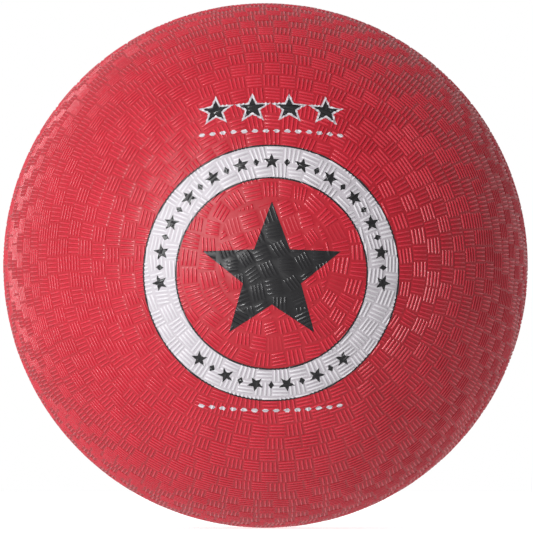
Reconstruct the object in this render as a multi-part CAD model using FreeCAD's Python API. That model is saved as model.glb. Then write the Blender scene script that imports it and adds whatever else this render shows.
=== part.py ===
# A hollow, air-filled playground ball: a ribbed rubber cover vulcanised over a nylon winding and
# a rubber bladder, with a needle valve at the back and a printed badge at the front.
#
# Millimetres. The origin is the ball's centre and +Z is up. The mould axis is Y: the front pole,
# with the badge just below it, is at -Y, and the valve is at +Y.
import FreeCAD, Part
import math
import os

# ---- The ball's layers, from outside to inside
ball_diameter = 254.0       # over the tops of the ribs
cover_thickness = 1.2
winding_thickness = 0.3
bladder_thickness = 0.9

# ---- The valve
patch_diameter = 44.0       # disc that spreads the valve's load over the bladder
patch_thickness = 0.6
flange_diameter = 26.0
flange_thickness = 1.2
neck_diameter = 9.0         # the housing, where it passes through the ball's wall
body_diameter = 12.0        # the housing, inside the air chamber
body_length = 17.0          # from the flange inwards
body_floor = 1.4            # the housing's inner end, past the core
air_way_diameter = 3.0      # the hole through that end
mouth_recess = 0.6          # the housing's end face, below the tops of the ribs
mouth_diameter = 13.0       # the funnel in the cover round the housing
core_diameter = 5.6
core_head_diameter = 7.0
core_head_length = 2.0
core_collar_diameter = 7.0  # the bulge that keeps the core in
core_collar_length = 2.6
core_recess = 0.5           # the core's end face, below the housing's
core_clearance = 0.0        # the core is a tight rubber plug
needle_hole_diameter = 2.4
needle_hole_length = 5.0
needle_funnel_diameter = 4.4
needle_funnel_depth = 0.9
boss_diameter = 22.0        # the smooth disc round the valve
boss_groove_width = 0.8
boss_groove_depth = 0.5

# ---- The printed badge. Arcs are lengths along the cover.
ink_thickness = 0.15
badge_drop = 9.7            # the badge's centre, below the front pole
ring_inner_arc = 45.6
ring_outer_arc = 61.1
border_width = 0.8          # dark lines along both edges of the ring
emblem_size = 33.5          # centre to tips of the star in the middle
star_waist = 0.42           # a star's inner corners, as a share of its tips

ring_mark_arc = 53.3        # middle of the marks on the ring
ring_star_size = 4.0
ring_diamond_size = 2.0
top_marks = 25
top_marks_span = 190.0      # degrees from the first to the last
low_marks = 11
low_marks_span = 80.0

banner_arc = 82.1           # row of dark stars with light edges, above the ring
banner_stars = 4
banner_pitch = 17.2
banner_star_size = 6.3
banner_edge = 2.6           # how far the light star's tips pass the dark star's

dash_length = 3.3           # rows of small light dashes above and below the ring
dash_width = 1.9
dash_pitch = 5.0
dashes = 14
upper_dash_arc = 69.2
lower_dash_arc = -67.0

# ---- Worked out from the sizes above
ball_radius = ball_diameter / 2
cover_inner = ball_radius - cover_thickness
winding_inner = cover_inner - winding_thickness
bladder_inner = winding_inner - bladder_thickness
patch_inner = bladder_inner - patch_thickness
flange_inner = patch_inner - flange_thickness
mouth_y = ball_radius - mouth_recess
body_end_y = flange_inner - body_length
core_top_y = mouth_y - core_recess
core_end_y = body_end_y + body_floor

CENTRE = FreeCAD.Vector(0, 0, 0)
VALVE_AXIS = FreeCAD.Vector(0, 1, 0)
ACROSS = FreeCAD.Vector(1, 0, 0)
UP = FreeCAD.Vector(0, 0, 1)
OVERRUN = 5.0               # how far a cutting tool runs past what it cuts


# ---- Shapes
def shell(inner, outer):
    """A hollow sphere."""
    return Part.makeSphere(outer).cut(Part.makeSphere(inner))


def turned(profile):
    """A solid of revolution about the valve's axis, from (radius, y) points."""
    points = [FreeCAD.Vector(r, y, 0) for r, y in profile]
    outline = Part.makePolygon(points + points[:1])
    return Part.Face(outline).revolve(CENTRE, VALVE_AXIS, 360)


def rod(diameter, low_y, high_y):
    """A round bar along the valve's axis."""
    return Part.makeCylinder(diameter / 2, high_y - low_y, FreeCAD.Vector(0, low_y, 0), VALVE_AXIS)


def cone(low_diameter, high_diameter, low_y, high_y):
    """A tapered bar along the valve's axis."""
    base = FreeCAD.Vector(0, low_y, 0)
    return Part.makeCone(low_diameter / 2, high_diameter / 2, high_y - low_y, base, VALVE_AXIS)


def through_wall(diameter):
    """A bar that passes through every layer of the ball's wall at the valve."""
    return rod(diameter, flange_inner - OVERRUN, ball_radius + OVERRUN)


# ---- The ball's layers
def make_cover():
    """The outer skin, with the valve's funnel and the groove round its smooth boss."""
    skin = shell(cover_inner, ball_radius).cut(through_wall(neck_diameter))
    funnel = cone(neck_diameter, mouth_diameter, mouth_y, ball_radius)
    skin = skin.cut(funnel.fuse(rod(mouth_diameter, ball_radius, ball_radius + OVERRUN)))
    groove = shell(ball_radius - boss_groove_depth, ball_radius + OVERRUN)
    groove = groove.common(through_wall(boss_diameter + 2 * boss_groove_width))
    return skin.cut(groove.cut(through_wall(boss_diameter)))


def make_winding():
    return shell(winding_inner, cover_inner).cut(through_wall(neck_diameter))


def make_bladder():
    return shell(bladder_inner, winding_inner).cut(through_wall(neck_diameter))


# ---- The valve
def make_patch():
    disc = shell(patch_inner, bladder_inner).common(through_wall(patch_diameter))
    return disc.cut(through_wall(neck_diameter))


def core_outline(clearance):
    """Half the section of the core, or of the hole that holds it."""
    shank = core_diameter / 2 + clearance
    head = core_head_diameter / 2 + clearance
    collar = core_collar_diameter / 2 + clearance
    slope = collar - shank
    collar_top = core_end_y + core_collar_length
    return [(0, core_end_y), (shank, core_end_y), (collar, core_end_y + slope),
            (collar, collar_top), (shank, collar_top + slope),
            (shank, core_top_y - core_head_length), (head, core_top_y - core_head_length),
            (head, core_top_y), (0, core_top_y)]


def make_housing():
    """The moulded socket: a flange under the patch, a neck out and a body in."""
    flange = shell(flange_inner, patch_inner).common(through_wall(flange_diameter))
    body = rod(body_diameter, body_end_y, flange_inner + flange_thickness / 2)
    neck = rod(neck_diameter, flange_inner, mouth_y)
    housing = flange.fuse(body).fuse(neck)
    socket = turned(core_outline(core_clearance))
    entry = rod(core_head_diameter + 2 * core_clearance, core_top_y, mouth_y + OVERRUN)
    air_way = rod(air_way_diameter, body_end_y - OVERRUN, core_end_y + OVERRUN)
    return housing.cut(socket.fuse(entry).fuse(air_way)).removeSplitter()


def make_core():
    """The rubber plug that the needle is pushed through. Its slit is closed."""
    hole = rod(needle_hole_diameter, core_top_y - needle_hole_length, core_top_y + OVERRUN)
    funnel_low = core_top_y - needle_funnel_depth
    funnel = cone(needle_hole_diameter, needle_funnel_diameter, funnel_low, core_top_y)
    return turned(core_outline(0)).cut(hole.fuse(funnel))


# ---- The badge
def film(layer):
    """The thin shell that a layer of ink lies in: layer 0 is on the rubber, layer 1 on layer 0."""
    low = ball_radius + layer * ink_thickness
    return shell(low, low + ink_thickness)


def star(size, tips=5):
    """Corners of an upright star, as (across, up) points."""
    corners = []
    for i in range(2 * tips):
        reach = size if i % 2 == 0 else size * star_waist
        turn = math.pi * i / tips
        corners.append((reach * math.sin(turn), reach * math.cos(turn)))
    return corners


def diamond(size):
    return [(0, size), (0.7 * size, 0), (0, -size), (-0.7 * size, 0)]


def dash():
    """Corners of a short bar with pointed ends."""
    tip = dash_length / 2
    half = dash_width / 2
    square = tip - half
    return [(-tip, 0), (-square, half), (square, half), (tip, 0), (square, -half), (-square, -half)]


def degrees_of(arc):
    """The angle at the ball's centre of a length along its cover."""
    return math.degrees(arc / ball_radius)


def stamp(corners, layer):
    """Ink of an outline, at the front pole."""
    points = [FreeCAD.Vector(x, 0, z) for x, z in corners]
    outline = Part.makePolygon(points + points[:1])
    punch = Part.Face(outline).extrude(-2 * ball_radius * VALVE_AXIS)
    return film(layer).common(punch)


def band(inner_arc, outer_arc):
    """A ring of ink round the front pole."""
    inner, outer = (ball_radius * math.sin(arc / ball_radius) for arc in (inner_arc, outer_arc))
    depth = 2 * ball_radius
    punch = Part.makeCylinder(outer, depth, CENTRE, -VALVE_AXIS)
    return film(0).common(punch.cut(Part.makeCylinder(inner, depth, CENTRE, -VALVE_AXIS)))


def spread(count, span):
    """Evenly spaced numbers from minus to plus half the span."""
    return [span * (i / (count - 1) - 0.5) for i in range(count)]


def row(corners, layer, up_arc, count, pitch):
    """Stamps side by side along a great circle, that far above the badge's centre."""
    stamps = []
    for across in spread(count, pitch * (count - 1)):
        ink = stamp(corners, layer)
        ink.rotate(CENTRE, UP, degrees_of(across))
        ink.rotate(CENTRE, ACROSS, -degrees_of(up_arc))
        stamps.append(ink)
    return stamps


def ring_marks():
    """Stars and diamonds by turns along the top and the bottom of the ring."""
    marks = []
    for count, span, middle in ((top_marks, top_marks_span, 0), (low_marks, low_marks_span, 180)):
        for i, turn in enumerate(spread(count, span)):
            mark = stamp(star(ring_star_size) if i % 2 == 0 else diamond(ring_diamond_size), 1)
            mark.rotate(CENTRE, ACROSS, -degrees_of(ring_mark_arc))
            mark.rotate(CENTRE, VALVE_AXIS, middle + turn)
            marks.append(mark)
    return marks


def in_place(pieces):
    """The pieces as one part, moved down from the front pole to the badge's place."""
    badge = Part.makeCompound([solid for piece in pieces for solid in piece.Solids])
    badge.rotate(CENTRE, ACROSS, degrees_of(badge_drop))
    return badge


def make_badge():
    light_star = star(banner_star_size + banner_edge)
    dark_star = star(banner_star_size)
    pieces = {
        "ring_print": [band(ring_inner_arc, ring_outer_arc)],
        "ring_border_print": [band(ring_inner_arc - border_width, ring_inner_arc),
                              band(ring_outer_arc, ring_outer_arc + border_width)],
        "ring_mark_print": ring_marks(),
        "emblem_print": [stamp(star(emblem_size), 0)],
        "banner_edge_print": row(light_star, 0, banner_arc, banner_stars, banner_pitch),
        "banner_star_print": row(dark_star, 1, banner_arc, banner_stars, banner_pitch),
        "upper_dash_print": row(dash(), 0, upper_dash_arc, dashes, dash_pitch),
        "lower_dash_print": row(dash(), 0, lower_dash_arc, dashes, dash_pitch),
    }
    return {name: in_place(solids) for name, solids in pieces.items()}


def main():
    os.makedirs("parts", exist_ok=True)
    nodes = {
        "cover": make_cover(),
        "nylon_winding": make_winding(),
        "bladder": make_bladder(),
        "valve_patch": make_patch(),
        "valve_housing": make_housing(),
        "valve_core": make_core(),
    }
    nodes.update(make_badge())
    for name, shape in nodes.items():
        shape.exportStep("parts/" + name + ".step")
        print(name, "solids", len(shape.Solids), "volume", round(shape.Volume, 1), shape.isValid())


main()
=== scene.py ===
"""A red playground ball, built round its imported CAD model: a ribbed cover in two moulded halves, ink
that lies on the ribs, a needle valve at the back, and the winding, bladder and valve inside."""

import math
import random

import bmesh
import bpy
import numpy as np
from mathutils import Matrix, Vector
from mathutils.geometry import delaunay_2d_cdt


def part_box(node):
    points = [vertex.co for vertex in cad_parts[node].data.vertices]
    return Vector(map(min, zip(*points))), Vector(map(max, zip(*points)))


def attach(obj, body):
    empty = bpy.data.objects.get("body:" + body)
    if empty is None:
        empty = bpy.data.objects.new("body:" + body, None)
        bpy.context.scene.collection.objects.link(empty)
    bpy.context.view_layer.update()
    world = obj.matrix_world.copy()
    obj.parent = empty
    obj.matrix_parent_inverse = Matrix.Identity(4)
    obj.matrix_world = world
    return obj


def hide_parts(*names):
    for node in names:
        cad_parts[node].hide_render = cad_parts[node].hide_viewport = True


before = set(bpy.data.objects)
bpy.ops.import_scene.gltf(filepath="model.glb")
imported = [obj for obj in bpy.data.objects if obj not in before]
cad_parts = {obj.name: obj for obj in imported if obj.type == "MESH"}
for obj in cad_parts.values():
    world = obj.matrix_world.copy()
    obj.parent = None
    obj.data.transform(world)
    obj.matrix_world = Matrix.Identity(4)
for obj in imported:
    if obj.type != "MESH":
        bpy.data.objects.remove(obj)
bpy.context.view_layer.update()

MM = 0.001

# ---- Sizes from the frame
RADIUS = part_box("cover")[1].z               # over the tops of the ribs
COVER_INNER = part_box("nylon_winding")[1].z
MOUTH_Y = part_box("valve_housing")[1].y
NECK_RADIUS = 4.5 * MM
FUNNEL_RADIUS = 6.5 * MM
BOSS_RADIUS = 11.0 * MM
GROOVE_WIDTH = 0.8 * MM
GROOVE_DEPTH = 0.5 * MM

# ---- The moulded texture: patches of four ribs, in rings round the mould's two poles
RIBS = 4                                    # ribs in a patch
RIB_HEIGHT = 0.46 * MM
RIB_WIDTH = 0.54                            # of the rib pitch; the section is a round arc
RIB_SIDES = 5                               # flat faces that stand for the arc
RIB_END = 0.020                             # plain rubber past a rib's end, in patch widths
RIB_END_SLOPE = 0.095                       # how far its end slopes, in patch widths
RINGS = 24                                  # rings of patches from a pole to the parting line
BADGE_RINGS = 12                            # rings that may carry ink
PATCH_WIDTH = 8.0 * MM
CAP_RINGS = 3                               # rings that patches in a plain grid fill, at the pole
CAP_TURN = 0.35                             # radians, that grid against the vertical
CAP_PITCH = 8.25 * MM
CAP_JITTER = 0.18 * MM
CAP_STEPS = 40                              # how finely a rib of the cap is cut at the cap's rim
SHORTEST_RIB = 0.12                         # of those left there, in patch widths
RING_GAP = 0.14 * MM                        # plain rubber between two rings
TROUGH = RADIUS - RIB_HEIGHT

# ---- How uneven the moulded patches are: a little everywhere, and more towards the pole
CALM_TURN = 1.4                             # degrees, one patch against its neighbours
WILD_TURN = 8.0
TURN_LIMIT = 0.35                           # radians
TURN_SLACK = 1.03                           # how far a turned patch may pass its square
CALM_DRIFT = 0.25 * MM                      # how far the rows wander in short waves
WILD_DRIFT = 1.1 * MM
SLOW_DRIFT = 1.8 * MM                       # and in long ones
SHORT_WAVE = 34 * MM
LONG_WAVE = 230 * MM
WILD_REACH = math.radians(24)
VALVE_CALM = math.radians(6)                # nothing wanders this near the valve
SLIP = 0.15                                 # how far a ring slips round, in patches
LOWEST_RISE = 0.9                           # of a patch's ribs, as a share of the full height
FAINT_PATCHES = 0.10                        # share of the patches near the pole that are nearly plain
FAINT_RISE = 0.3
WAVES = 8                                   # in each random push
RIM_FADE = 0.2                              # radians over which it fades, at the parting line
VALVE_FADE = 0.3                            # and round the valve
FRONT_SEED = 3
BACK_SEED = 11

# ---- The parting line, and the smooth parts
BEAD_HALF_WIDTH = 0.55 * MM
BEAD_RISE = 0.26 * MM
SMOOTH_SIDES = 96                           # points round the axis, inside the cover and at the valve
INSIDE_STEPS = 24                           # rows of faces inside each half

# ---- Ink
INK_SINK = 0.02 * MM                        # how far ink reaches below what it lies on
INK_RISE = 0.05 * MM

# ---- The camera: far off, a little below the front pole's level and a little to its left
CAMERA_DISTANCE = 2.4
CAMERA_AZIMUTH = math.radians(-1.36)
CAMERA_ELEVATION = math.radians(-2.6)
BALL_SHARE = 0.985                          # of the picture's width
FRAME_SHIFT = (0.0019, -0.0019)             # of it too, right and up

# ---- The room's light: even behind the ball, and in front paler to the left, to the back and below
BACK_LIGHT = 1.0
FRONT_LIGHT = 0.58
PALE_SIDE = (-0.15, 0.22, -0.28)
BACK_STARTS = 0.05                          # where the front part blends into the back part, along +Y
BACK_FULL = 0.50
MIRRORED_SHARE = 0.46                       # how much of the room's light shows in gloss
FLOOR_GLOW = 0.72


# ---- Small helpers
def new_object(name, mesh):
    piece = bpy.data.objects.new(name, mesh)
    bpy.context.scene.collection.objects.link(piece)
    return piece


def smooth(mesh, angle=40):
    """Smooth shading, with creases where faces meet at more than an angle in degrees."""
    mesh.shade_smooth()
    mesh.set_sharp_from_angle(angle=math.radians(angle))


# ---- The ribbed cover
def rib_profile():
    """Points across a rib as (distance from its middle in rib pitches, share of its height)."""
    half = RIB_WIDTH / 2 * PATCH_WIDTH / RIBS
    bend = (half ** 2 + RIB_HEIGHT ** 2) / (2 * RIB_HEIGHT)
    reach = math.asin(half / bend)
    angles = [reach * (2 * q / RIB_SIDES - 1) for q in range(RIB_SIDES + 1)]
    return [(RIB_WIDTH / 2 * math.sin(angle) / math.sin(reach),
             (math.cos(angle) - math.cos(reach)) / (1 - math.cos(reach))) for angle in angles]


def rotated(x, y, angle):
    cos, sin = math.cos(angle), math.sin(angle)
    return x * cos - y * sin, x * sin + y * cos


def turns_left(a, b, c):
    return (b - a).cross(c - b) > 0


class Half:
    """Points and faces of one half of the cover. A point is (angle from the pole, turn, radius)."""

    def __init__(self, seed, first_cells):
        self.random = random.Random(seed)
        self.points = []
        self.faces = []
        self.phase = 0.0                    # of the last ring made
        self.weave = [cell % 2 == 0 for cell in range(first_cells)]   # which way its patches run

    def point(self, theta, turn, radius):
        self.points.append((theta, turn, radius))
        return len(self.points) - 1

    def loop(self, theta, radius, count, phase=0.0):
        """Evenly spaced points round the axis, as (turn, index) pairs."""
        turns = [phase + math.tau * i / count for i in range(count)]
        return [(turn, self.point(theta, turn, radius)) for turn in turns]

    def join(self, inner, outer):
        """Joins two loops by a strip of triangles, or of quads where their points pair up."""
        gaps = [abs(math.remainder(turn - inner[0][0], math.tau)) for turn, _ in outer]
        first = gaps.index(min(gaps))
        a = [index for _, index in inner + inner[:1]]
        b = [index for _, index in outer[first:] + outer[:first + 1]]
        i = k = 0
        while i < len(a) - 1 or k < len(b) - 1:
            lead = (i + 1) * (len(b) - 1) - (k + 1) * (len(a) - 1)
            next_i = i + 1 if lead <= 0 else i
            next_k = k + 1 if lead >= 0 else k
            corners = [a[i], a[next_i], b[next_k], b[k]]
            self.faces.append(tuple(dict.fromkeys(corners)))
            i, k = next_i, next_k

    def rib(self, spot, middle, start, end, rise):
        """One rib between two shares of a patch's length, with the points at its two ends.

        spot(across, along) is the angle and turn at shares of the patch."""
        near, far = [], []
        for out, up in rib_profile():
            across = middle + out / RIBS
            inset = RIB_END + RIB_END_SLOPE * up
            for line, along in ((near, start + inset), (far, end - inset)):
                line.append(self.point(*spot(across, along), TROUGH + up * rise))
        for q in range(RIB_SIDES):
            self.faces.append((near[q], near[q + 1], far[q + 1], far[q]))
        self.faces += [tuple(near), tuple(far)]
        return near, far

    def patch(self, edge, place, along_axis, turn, rise):
        """Four ribs inside a square of shared edge points.

        edge[(s, t)] is the point at s, t quarters of the square, and place(s, t) is the angle and
        turn at shares of it. The ribs run along s if along_axis, else along t."""
        cos, sin = math.cos(turn), math.sin(turn)
        shrink = min(1, TURN_SLACK / (abs(cos) + abs(sin)))

        def spot(across, along):
            x, y = (across - 0.5) * shrink, (along - 0.5) * shrink
            x, y = 0.5 + x * cos - y * sin, 0.5 + x * sin + y * cos
            return place(y, x) if along_axis else place(x, y)

        def side(across, along):
            return edge[(along, across) if along_axis else (across, along)]

        near, far = zip(*[self.rib(spot, (rib + 0.5) / RIBS, 0, 1, rise) for rib in range(RIBS)])
        for rib in range(RIBS):
            a, b = near[rib], far[rib]
            self.faces.append((side(rib, 0), side(rib + 1, 0), a[-1], a[0]))
            self.faces.append((side(rib, RIBS), side(rib + 1, RIBS), b[-1], b[0]))
        for rib in range(RIBS - 1):
            self.faces.append((side(rib + 1, 0), near[rib + 1][0], far[rib + 1][0],
                               side(rib + 1, RIBS), far[rib][-1], near[rib][-1]))
        for across, first, last in ((0, far[0][0], near[0][0]), (RIBS, far[-1][-1], near[-1][-1])):
            rim = [side(across, along) for along in range(RIBS + 1)]
            self.faces.append((*rim, first, last))

    def character(self, theta):
        """A patch's own turn and rib height: wilder and sometimes faint near the front pole."""
        wild = math.exp(-(theta / WILD_REACH) ** 2)
        turn = self.random.gauss(0, 1) * math.radians(CALM_TURN + WILD_TURN * wild)
        faint = self.random.random() < FAINT_PATCHES * wild ** 3
        rise = RIB_HEIGHT * (FAINT_RISE if faint else self.random.uniform(LOWEST_RISE, 1.0))
        return max(-TURN_LIMIT, min(TURN_LIMIT, turn)), rise

    def runs_along(self, turn):
        """Whether the last ring's patch at that turn has its ribs along the axis."""
        share = (turn - self.phase) % math.tau / math.tau
        return self.weave[int(share * len(self.weave)) % len(self.weave)]

    def next_weave(self, phase, count):
        """The next ring's ways: each patch runs across its neighbour in the ring, and now and then
        two alike come together, which keeps most of them across those of the last ring too."""
        weave = []
        wrong = 0
        for cell in range(count):
            wanted = not self.runs_along(phase + math.tau * (cell + 0.5) / count)
            along = not weave[-1] if weave else wanted
            wrong = wrong + 1 if along != wanted else 0
            if wrong > 1:
                along = wanted
                wrong = 0
            weave.append(along)
        return weave

    def ring(self, low, high):
        """A ring of patches between two angles, with its inner and outer loops."""
        middle = (low + high) / 2
        count = round(math.tau * RADIUS * math.sin(middle) / PATCH_WIDTH)
        step = math.tau / count
        phase = self.phase + self.random.gauss(0, SLIP) * step
        weave = self.next_weave(phase, count)
        self.phase, self.weave = phase, weave
        rows = [self.loop(low + (high - low) * s / RIBS, TROUGH, count * RIBS, phase)
                if s in (0, RIBS) else self.loop(low + (high - low) * s / RIBS, TROUGH, count, phase)
                for s in range(RIBS + 1)]
        for cell in range(count):
            edge = {}
            for s, row in enumerate(rows):
                per_cell = len(row) // count
                for t in range(per_cell + 1):
                    quarter = t * RIBS // per_cell
                    edge[(s, quarter)] = row[(cell * per_cell + t) % len(row)][1]

            def place(s, t, cell=cell):
                return low + (high - low) * s, phase + step * (cell + t)

            turn, rise = self.character(middle)
            self.patch(edge, place, weave[cell], turn, rise)
        return rows[0], rows[-1]

    def cap(self, reach):
        """Patches in a plain grid up to that angle from the pole, with the cap's rim as a loop."""
        rim = self.loop(reach, TROUGH, RIBS * round(math.tau * RADIUS * reach / PATCH_WIDTH))
        feet = []
        cells = math.ceil(reach * RADIUS / PATCH_WIDTH) + 1
        limit = reach * RADIUS - RING_GAP
        for column in range(-cells, cells + 1):
            for row in range(-cells, cells + 1):
                feet += self.grid_patch(column, row, limit)
        self.fill(rim, feet)
        return rim

    def grid_patch(self, column, row, limit):
        """The ribs of one patch of the cap, as far as they lie within the limit."""
        turn, rise = self.character(0)
        shrink = PATCH_WIDTH / (math.cos(turn) + abs(math.sin(turn)))
        middle = [(step + 0.5) * CAP_PITCH + self.random.uniform(-1, 1) * CAP_JITTER
                  for step in (column, row)]
        middle = rotated(*middle, CAP_TURN)
        turn += CAP_TURN + (column + row) % 2 * math.pi / 2

        def spot(across, along):
            x, y = rotated((across - 0.5) * shrink, (along - 0.5) * shrink, turn)
            x, y = middle[0] + x, middle[1] + y
            return math.hypot(x, y) / RADIUS, math.atan2(x, y)

        feet = []
        for rib in range(RIBS):
            across = (rib + 0.5) / RIBS
            steps = [step / CAP_STEPS for step in range(CAP_STEPS + 1)]
            inside = [step for step in steps
                      if max(spot(across + side * RIB_WIDTH / 2 / RIBS, step)[0]
                             for side in (-1, 1)) * RADIUS < limit]
            if inside and inside[-1] - inside[0] > SHORTEST_RIB:
                near, far = self.rib(spot, across, inside[0], inside[-1], rise)
                feet.append((near[0], near[-1], far[-1], far[0]))
        return feet

    def fill(self, rim, feet):
        """Plain rubber inside the rim and outside the ribs' feet."""
        outline = [index for _, index in rim]
        used = outline + [index for foot in feet for index in foot]
        flat = [Vector((theta * math.cos(turn), theta * math.sin(turn)))
                for theta, turn, _ in (self.points[index] for index in used)]
        number = {index: n for n, index in enumerate(used)}
        loops = [[number[index] for index in loop] for loop in (outline, *feet)]
        loops = [loop if turns_left(*(flat[n] for n in loop[:3])) else loop[::-1] for loop in loops]
        spots, _, faces, sources, _, inside = delaunay_2d_cdt(flat, [], loops, 1, 1e-9)
        for face, owners in zip(faces, inside):
            if owners == [0]:
                self.faces.append(tuple(used[sources[corner][0]] for corner in face))

    def turned_loops(self, profile):
        """Loops round the axis from (distance from the axis, distance along it) points."""
        return [self.loop(math.atan2(reach, along), math.hypot(reach, along), SMOOTH_SIDES)
                for reach, along in profile]

    def valve_boss(self):
        """The neck's hole, the funnel, the smooth boss and the groove round it.

        Gives the hole's loop on the inside and the outer loop."""
        def on(reach, radius):
            return reach, math.sqrt(radius ** 2 - reach ** 2)

        lip, inner_dip, outer_dip = 0.25 * MM, 0.06 * MM, 0.1 * MM
        groove_out = BOSS_RADIUS + GROOVE_WIDTH
        groove_low = RADIUS - GROOVE_DEPTH
        loops = self.turned_loops([
            on(NECK_RADIUS, COVER_INNER), (NECK_RADIUS, MOUTH_Y),
            on(FUNNEL_RADIUS, RADIUS - inner_dip), on(FUNNEL_RADIUS + lip, RADIUS),
            on(BOSS_RADIUS - 2 * lip, RADIUS), on(BOSS_RADIUS - lip / 2, RADIUS - outer_dip),
            on(BOSS_RADIUS, groove_low), on(groove_out - lip, groove_low), on(groove_out, TROUGH)])
        for a, b in zip(loops, loops[1:]):
            self.join(a, b)
        return loops[0], loops[-1]

    def close(self, outer, hole):
        """The bead at the parting line, the flat joint and the smooth inside."""
        count = len(outer)
        quarter = math.pi / 2
        foot = self.loop(quarter - BEAD_HALF_WIDTH / RADIUS, TROUGH, count)
        crest = self.loop(quarter - BEAD_HALF_WIDTH / RADIUS / 2, TROUGH + BEAD_RISE, count)
        top = self.loop(quarter, TROUGH + 1.15 * BEAD_RISE, count)
        self.join(outer, foot)
        self.join(foot, crest)
        self.join(crest, top)
        end = hole[0][1] if hole else None
        stop = self.points[end][0] if hole else 0.0
        last = top
        for i in range(INSIDE_STEPS):
            theta = quarter + (stop - quarter) * i / INSIDE_STEPS
            inside = self.loop(theta, COVER_INNER, SMOOTH_SIDES)
            self.join(last, inside)
            last = inside
        if hole:
            self.join(last, hole)
        else:
            pole = self.point(0, 0, COVER_INNER)
            self.faces += [(last[i - 1][1], last[i][1], pole) for i in range(SMOOTH_SIDES)]

    def wander(self, direction, length):
        """A smooth random push at each point, of about unit size, in waves of that length."""
        waves = np.random.default_rng(self.random.randrange(1000))
        push = np.zeros_like(direction)
        for _ in range(WAVES):
            wave = waves.normal(size=3)
            wave *= math.tau * RADIUS / length / np.linalg.norm(wave)
            swing = np.sin(direction @ wave + waves.uniform(0, math.tau))
            push += waves.normal(size=3) * swing[:, None]
        return push / math.sqrt(WAVES)

    def positions(self, back):
        """The points in metres. The rows wander, except at the parting line and round the valve.

        The back half is the front one turned about the vertical."""
        theta, turn, radius = np.array(self.points).T
        direction = np.stack([np.sin(theta) * np.sin(turn), -np.cos(theta),
                              np.sin(theta) * np.cos(turn)], axis=1)
        free = np.clip((math.pi / 2 - theta) / RIM_FADE, 0, 1)
        wild = np.exp(-(theta / WILD_REACH) ** 2)
        if back:
            free = np.minimum(free, np.clip((theta - VALVE_CALM) / VALVE_FADE, 0, 1))
            wild = 0
        short = free * (CALM_DRIFT + WILD_DRIFT * wild)
        push = self.wander(direction, SHORT_WAVE) * short[:, None]
        push += self.wander(direction, LONG_WAVE) * (free * SLOW_DRIFT)[:, None]
        direction += push / RADIUS
        direction /= np.linalg.norm(direction, axis=1)[:, None]
        spots = direction * radius[:, None]
        return spots * [-1, -1, 1] if back else spots


def make_half(seed, back):
    """One half of the cover, and how many of its faces may carry ink."""
    first = 1 if back else CAP_RINGS
    half = Half(seed, 12 if back else 24)
    span = math.pi / 2 - BEAD_HALF_WIDTH / RADIUS
    pitch = span / (RINGS + 0.5)
    gap = RING_GAP / RADIUS / 2
    hole, edge = half.valve_boss() if back else (None, half.cap(pitch * (first + 0.5) - gap))
    badge_faces = 0
    for number in range(first, RINGS):
        low = pitch * (number + 0.5) + gap
        inner, outer = half.ring(low, low + pitch - 2 * gap)
        half.join(edge, inner)
        edge = outer
        if number + 1 == BADGE_RINGS:
            badge_faces = len(half.faces)
    half.close(edge, hole)
    return half, badge_faces


def make_cover_piece(name, half, back):
    mesh = bpy.data.meshes.new(name)
    mesh.from_pydata(half.positions(back).tolist(), [], half.faces)
    bm = bmesh.new()
    bm.from_mesh(mesh)
    bmesh.ops.recalc_face_normals(bm, faces=bm.faces)
    bm.to_mesh(mesh)
    bm.free()
    smooth(mesh)
    return new_object(name, mesh)


# ---- Ink
def skin(points, faces, low, high):
    """A closed sheet that follows part of the cover's outside, between two heights above it."""
    used = sorted({index for face in faces for index in face})
    number = {index: n for n, index in enumerate(used)}
    base = points[used]
    distance = np.linalg.norm(base, axis=1)[:, None]
    layers = [base * (1 + height / distance) for height in (low, high)]
    size = len(used)
    lower = [tuple(number[index] for index in reversed(face)) for face in faces]
    upper = [tuple(number[index] + size for index in face) for face in faces]
    edges = {(face[i - 1], face[i]) for face in lower for i in range(len(face))}
    walls = [(b, a, a + size, b + size) for a, b in edges if (b, a) not in edges]
    mesh = bpy.data.meshes.new("skin")
    mesh.from_pydata(np.vstack(layers).tolist(), [], lower + upper + walls)
    return mesh


def stencil(node):
    """A node's shape stretched along the ball's radius, so that it cuts right through the ribs."""
    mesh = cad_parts[node].data.copy()
    bm = bmesh.new()
    bm.from_mesh(mesh)
    bmesh.ops.remove_doubles(bm, verts=bm.verts, dist=0.001 * MM)
    distances = [vert.co.length for vert in bm.verts]
    middle = (min(distances) + max(distances)) / 2
    for vert in bm.verts:
        vert.co *= (RADIUS + (1 if vert.co.length > middle else -1) * MM) / vert.co.length
    bm.to_mesh(mesh)
    bm.free()
    return mesh


def print_ink(node, sheet, material):
    """The part of the sheet inside the node's outline, which takes the node's place."""
    cutter = new_object("cutter", stencil(node))
    source = new_object("source", sheet)
    cut = source.modifiers.new("cut", "BOOLEAN")
    cut.operation = "INTERSECT"
    cut.solver = "MANIFOLD"
    cut.object = cutter
    evaluated = source.evaluated_get(bpy.context.evaluated_depsgraph_get())
    mesh = bpy.data.meshes.new_from_object(evaluated)
    for helper in (source, cutter):
        bpy.data.objects.remove(helper)
    smooth(mesh)
    return finished(new_object(node.replace("_print", "_ink"), mesh), material, node)


# ---- Materials
def connect(tree, value, socket):
    """Sets a socket to a plain value, or links it to another node's output."""
    if isinstance(value, bpy.types.NodeSocket):
        tree.links.new(value, socket)
    else:
        socket.default_value = value


def add_node(tree, kind, inputs, output=0, **settings):
    """Adds a node, fills its inputs by name or number and gives one of its outputs."""
    node = tree.nodes.new("ShaderNode" + kind)
    for key, value in settings.items():
        setattr(node, key, value)
    for key, value in inputs.items():
        connect(tree, value, node.inputs[key])
    return node.outputs[output]


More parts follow.
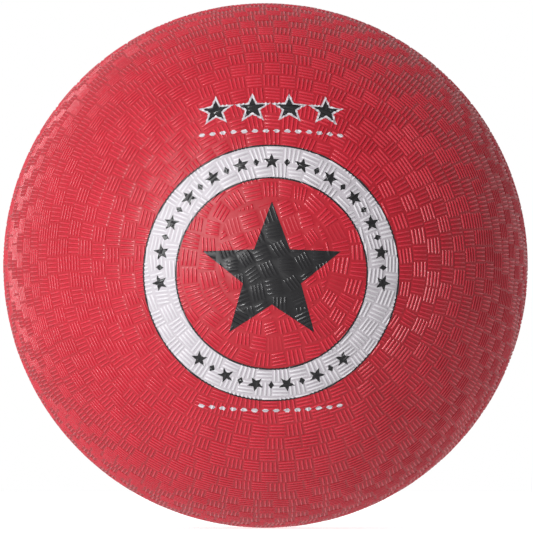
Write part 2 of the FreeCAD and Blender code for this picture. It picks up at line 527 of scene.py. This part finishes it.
class Paint:
    """A material, with short ways to add and join its nodes."""

    def __init__(self, name, **values):
        self.material = bpy.data.materials.new(name)
        self.material.use_nodes = True
        self.tree = self.material.node_tree
        self.shader = self.tree.nodes["Principled BSDF"]
        for socket, value in values.items():
            self.shader.inputs[socket.replace("_", " ")].default_value = value
        self.place = self.tree.nodes.new("ShaderNodeTexCoord").outputs["Object"]

    def node(self, kind, inputs, output=0, **settings):
        return add_node(self.tree, kind, inputs, output, **settings)

    def noise(self, size, detail=3.0, roughness=0.5, place=None):
        """Cloudy noise with features of about that size in metres."""
        return self.node("TexNoise", {"Vector": place or self.place, "Scale": 1 / size,
                                      "Detail": detail, "Roughness": roughness})

    def ramp(self, value, low, high, to_low=0.0, to_high=1.0):
        """The value carried from one range to another, and clamped to it."""
        return self.node("MapRange", {"Value": value, "From Min": low, "From Max": high,
                                      "To Min": to_low, "To Max": to_high})

    def mix(self, share, a, b):
        """A blend of two colours."""
        return self.node("MixRGB", {"Fac": share, "Color1": a, "Color2": b})

    def times(self, a, b):
        return self.node("Math", {0: a, 1: b}, operation="MULTIPLY")

    def height(self):
        """0 between the ribs and 1 on their tops."""
        distance = self.node("VectorMath", {0: self.place}, output="Value", operation="LENGTH")
        return self.ramp(distance, TROUGH, RADIUS)

    def bump(self, height, depth, below=None):
        inputs = {"Height": height, "Distance": depth, "Strength": 1.0}
        if below:
            inputs["Normal"] = below
        return self.node("Bump", inputs)

    def finish(self, **links):
        for name, value in links.items():
            connect(self.tree, value, self.shader.inputs[name.replace("_", " ")])
        return self.material


def cover_rubber():
    """Red rubber: darker between the ribs and lighter on their tops as painted shade, with a faint
    bloom, partly a painted highlight, and scuffs on their tops.
    """
    paint = Paint("red_rubber", Specular_IOR_Level=0.68)
    height = paint.height()
    clouds = paint.ramp(paint.noise(22 * MM, 4), 0.3, 0.7)
    # Painted shade: darker red between the ribs and lighter red on their tops, as light falls on them.
    painted_trough_shade = paint.mix(clouds, (0.50, 0.008, 0.022, 1), (0.58, 0.012, 0.030, 1))
    top = paint.mix(clouds, (0.76, 0.034, 0.066, 1), (0.82, 0.047, 0.083, 1))
    rubber = paint.mix(height, painted_trough_shade, top)
    # A faint whitish bloom on the rib tops: partly real bloom, partly a painted highlight.
    bloom_and_sheen = paint.ramp(paint.noise(1.6 * MM, 5, 0.65), 0.52, 0.75, 0, 0.16)
    rubber = paint.mix(paint.times(bloom_and_sheen, height), rubber, (0.86, 0.36, 0.40, 1))
    grain = paint.noise(0.35 * MM, 3, 0.6)
    worn = paint.ramp(height, 0.05, 0.35, 0.48, 0.25)
    patchy = paint.ramp(paint.noise(2.5 * MM, 4), 0.3, 0.7, -0.03, 0.06)
    roughness = paint.node("Math", {0: worn, 1: patchy}, operation="ADD")
    normal = paint.bump(grain, 0.018 * MM)
    return paint.finish(Base_Color=rubber, Roughness=roughness, Normal=normal)


def ink(name, shade_and_mottle, top_colour, roughness):
    """Ink: darker where it dips between the ribs, as painted shade, and finely mottled."""
    paint = Paint(name, Specular_IOR_Level=0.7)
    mottle = paint.ramp(paint.noise(0.9 * MM, 4, 0.7), 0.35, 0.7, 0, 0.5)
    height = paint.ramp(paint.height(), 0.0, 0.5)
    # Painted shade: the ink darkens towards the floor between the ribs.
    colour = paint.mix(height, shade_and_mottle, top_colour)
    colour = paint.mix(paint.times(mottle, 0.35), colour, shade_and_mottle)
    worn = paint.ramp(paint.height(), 0.05, 0.35, roughness + 0.2, roughness - 0.05)
    patchy = paint.ramp(paint.noise(1.8 * MM, 3), 0.3, 0.7, -0.03, 0.05)
    gloss = paint.node("Math", {0: worn, 1: patchy}, operation="ADD")
    normal = paint.bump(paint.noise(0.3 * MM, 2), 0.01 * MM)
    return paint.finish(Base_Color=colour, Roughness=gloss, Normal=normal)


def plain_rubber(name, low, high, roughness, grain=0.5 * MM):
    """Moulded rubber that isn't part of the ribbed cover."""
    paint = Paint(name)
    colour = paint.mix(paint.ramp(paint.noise(3 * MM, 4), 0.3, 0.7), low, high)
    gloss = paint.ramp(paint.noise(1.5 * MM, 3), 0.3, 0.7, roughness - 0.06, roughness + 0.08)
    normal = paint.bump(paint.noise(grain, 3), 0.03 * MM)
    return paint.finish(Base_Color=colour, Roughness=gloss, Normal=normal)


def wound_thread():
    """Nylon thread wound in bands that cross one another at several slopes."""
    paint = Paint("wound_thread", Sheen_Weight=0.2, Roughness=0.55)
    threads = None
    for slope in ((1.0, 0.35, 0.1), (-0.4, 1.0, 0.3), (0.2, -0.5, 1.0)):
        along = paint.node("VectorMath", {0: paint.place, 1: slope}, output="Value",
                           operation="DOT_PRODUCT")
        wave = paint.node("Math", {0: paint.times(along, math.tau / (0.9 * MM))}, operation="SINE")
        layer = paint.times(wave, paint.ramp(paint.noise(14 * MM, 2), 0.4, 0.6))
        threads = layer if threads is None else paint.node("Math", {0: threads, 1: layer},
                                                           operation="MAXIMUM")
    height = paint.ramp(threads, -1, 1)
    # Painted shade: the thread is darker in the hollows between strands and lighter on their crests.
    colour = paint.mix(height, (0.42, 0.38, 0.30, 1), (0.84, 0.81, 0.72, 1))
    return paint.finish(Base_Color=colour, Normal=paint.bump(height, 0.15 * MM))


def white_floor():
    """Pale and lit a little from within, so that it is as bright as the room."""
    paint = Paint("pale_floor", Specular_IOR_Level=0.2, Emission_Color=(1, 1, 1, 1),
                  Emission_Strength=FLOOR_GLOW)
    colour = paint.mix(paint.noise(0.4, 2), (0.88, 0.88, 0.88, 1), (0.92, 0.92, 0.92, 1))
    return paint.finish(Base_Color=colour, Roughness=0.6)


# ---- Pieces
def finished(piece, material, *nodes):
    """Gives a new piece its material, and puts it in the place of its CAD nodes."""
    piece.data.materials.clear()
    piece.data.materials.append(material)
    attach(piece, "root")
    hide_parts(*nodes)
    return piece


def make_cover_and_ink():
    rubber = cover_rubber()
    front, badge_faces = make_half(FRONT_SEED, False)
    front_piece = finished(make_cover_piece("cover_front_half", front, False), rubber, "cover")
    back, _ = make_half(BACK_SEED, True)
    finished(make_cover_piece("cover_back_half", back, True), rubber, "cover")
    white = ink("white_ink", (0.60, 0.55, 0.60, 1), (0.83, 0.80, 0.84, 1), 0.38)
    black = ink("black_ink", (0.018, 0.017, 0.019, 1), (0.030, 0.029, 0.032, 1), 0.25)
    mesh = front_piece.data
    mesh.calc_loop_triangles()
    points = np.array([vert.co for vert in mesh.vertices])
    faces = [tuple(triangle.vertices) for triangle in mesh.loop_triangles
             if triangle.polygon_index < badge_faces]
    layers = [(white, 0, ("ring_print", "banner_edge_print", "upper_dash_print", "lower_dash_print")),
              (black, 0, ("ring_border_print", "emblem_print")),
              (black, 1, ("ring_mark_print", "banner_star_print"))]
    for material, layer, nodes in layers:
        low = layer * INK_RISE
        for node in nodes:
            print_ink(node, skin(points, faces, low - INK_SINK, low + INK_RISE), material)


def dress_inner_nodes():
    """Materials for the CAD nodes that keep their own shapes."""
    black = plain_rubber("black_rubber", (0.012, 0.012, 0.013, 1), (0.030, 0.029, 0.028, 1), 0.5)
    shiny = plain_rubber("valve_rubber", (0.014, 0.014, 0.016, 1), (0.026, 0.026, 0.028, 1), 0.42)
    buff = plain_rubber("core_rubber", (0.40, 0.35, 0.28, 1), (0.52, 0.47, 0.39, 1), 0.55)
    looks = {
        "valve_housing": shiny,
        "valve_core": buff,
        "bladder": black,
        "valve_patch": black,
        "nylon_winding": wound_thread(),
    }
    for node, look in looks.items():
        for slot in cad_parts[node].material_slots:
            slot.material = look


# ---- Stage
def clear_start_up_objects():
    for name in ("Cube", "Light", "Camera"):
        if name in bpy.data.objects:
            bpy.data.objects.remove(bpy.data.objects[name])


def make_floor():
    """It takes the ball's shadow but throws no light back, so the room lights the underside too."""
    size = 40
    corners = [(-size, -size), (size, -size), (size, size), (-size, size)]
    mesh = bpy.data.meshes.new("floor")
    mesh.from_pydata([(x, y, -RADIUS) for x, y in corners], [], [(0, 1, 2, 3)])
    mesh.materials.append(white_floor())
    floor = new_object("floor", mesh)
    floor.visible_diffuse = floor.visible_glossy = floor.visible_shadow = False


def make_camera():
    data = bpy.data.cameras.new("camera")
    camera = new_object("camera", data)
    level = math.cos(CAMERA_ELEVATION)
    camera.location = CAMERA_DISTANCE * Vector((math.sin(CAMERA_AZIMUTH) * level,
                                                -math.cos(CAMERA_AZIMUTH) * level,
                                                math.sin(CAMERA_ELEVATION)))
    camera.rotation_euler = (-camera.location).to_track_quat("-Z", "Y").to_euler()
    edge = math.tan(math.asin(RADIUS / CAMERA_DISTANCE))
    data.sensor_width = 36
    data.lens = data.sensor_width / 2 * BALL_SHARE / edge
    data.shift_x, data.shift_y = FRAME_SHIFT
    data.clip_start, data.clip_end = 0.1, 100
    bpy.context.scene.camera = camera


def make_light(name, azimuth, elevation, distance, width, height, power):
    """A soft box that faces the ball. Azimuth 0 is in front of it, and turns to its right."""
    data = bpy.data.lights.new(name, "AREA")
    data.shape = "RECTANGLE"
    data.size, data.size_y, data.energy = width, height, power
    light = new_object(name, data)
    azimuth, elevation = math.radians(azimuth), math.radians(elevation)
    light.location = distance * Vector((math.sin(azimuth) * math.cos(elevation),
                                        -math.cos(azimuth) * math.cos(elevation),
                                        math.sin(elevation)))
    light.rotation_euler = light.location.to_track_quat("Z", "Y").to_euler()


def make_world():
    """A room that is even behind the ball, and in front paler to the left, to the back and below.

    Gloss shows it dimmer than it lights the ball, and the camera sees it white."""
    world = bpy.data.worlds.new("studio")
    bpy.context.scene.world = world
    world.use_nodes = True
    tree = world.node_tree

    way = add_node(tree, "TexCoord", {}, "Generated")
    paler = add_node(tree, "VectorMath", {0: way, 1: PALE_SIDE}, "Value", operation="DOT_PRODUCT")
    front = add_node(tree, "Math", {0: paler, 1: FRONT_LIGHT}, operation="ADD")
    back = add_node(tree, "SeparateXYZ", {0: way}, "Y")
    behind = add_node(tree, "MapRange", {"Value": back, "From Min": BACK_STARTS, "From Max": BACK_FULL},
                      interpolation_type="SMOOTHSTEP")
    room = add_node(tree, "MapRange", {"Value": behind, "To Min": front, "To Max": BACK_LIGHT})
    mirrored = add_node(tree, "LightPath", {}, "Is Glossy Ray")
    share = add_node(tree, "MapRange", {"Value": mirrored, "To Min": 1.0, "To Max": MIRRORED_SHARE})
    light = add_node(tree, "Math", {0: room, 1: share}, operation="MULTIPLY")
    seen = add_node(tree, "LightPath", {}, "Is Camera Ray")
    strength = add_node(tree, "MapRange", {"Value": seen, "To Min": light, "To Max": 1.0})
    tree.links.new(strength, tree.nodes["Background"].inputs["Strength"])
    tree.nodes["Background"].inputs["Color"].default_value = (1, 1, 1, 1)


def make_stage():
    clear_start_up_objects()
    make_floor()
    make_camera()
    make_world()
    make_light("key", azimuth=-34, elevation=14, distance=2.6, width=0.4, height=2.4, power=52)
    bpy.context.scene.view_settings.view_transform = "Standard"


make_stage()
make_cover_and_ink()
dress_inner_nodes()
